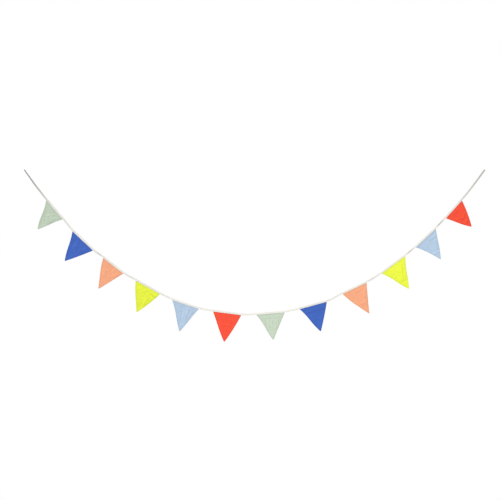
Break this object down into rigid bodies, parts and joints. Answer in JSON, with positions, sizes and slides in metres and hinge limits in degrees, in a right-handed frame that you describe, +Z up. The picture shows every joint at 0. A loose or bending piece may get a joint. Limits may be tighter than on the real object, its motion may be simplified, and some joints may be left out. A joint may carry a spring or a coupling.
{
  "type": "fabric bunting",
  "caption": "Row of three-cornered cotton pennants in soft and bright plain colours, sewn into a narrow folded tape that hangs in a deep curve between its two ends.",
  "frame": {"origin": "the left held end of the tape, at the middle of its height", "axes": "+X along the line from the left end to the right one, +Y towards the back (the side that faces a wall), +Z up"},
  "size_m": [2.4527, 0.042, 0.9157],
  "materials": {
    "tape_cream": "matt narrow woven cotton tape, cream, folded in half along its length and machine sewn",
    "cotton_pale_green": "matt plain-woven dyed cotton with a narrow machine-sewn hem",
    "cotton_blue": "matt plain-woven dyed cotton with a narrow machine-sewn hem",
    "cotton_coral": "matt plain-woven dyed cotton with a narrow machine-sewn hem",
    "cotton_yellow": "matt plain-woven dyed cotton with a narrow machine-sewn hem",
    "cotton_light_blue": "matt plain-woven dyed cotton with a narrow machine-sewn hem",
    "cotton_red": "matt plain-woven dyed cotton with a narrow machine-sewn hem"
  },
  "bodies": {
    "root": {"tape": "tape_cream", "pennant_01_pale_green": "cotton_pale_green", "pennant_02_blue": "cotton_blue", "pennant_03_coral": "cotton_coral", "pennant_04_yellow": "cotton_yellow", "pennant_05_light_blue": "cotton_light_blue", "pennant_06_red": "cotton_red", "pennant_07_pale_green": "cotton_pale_green", "pennant_08_blue": "cotton_blue", "pennant_09_coral": "cotton_coral", "pennant_10_yellow": "cotton_yellow", "pennant_11_light_blue": "cotton_light_blue", "pennant_12_red": "cotton_red"}
  },
  "joints": []
}
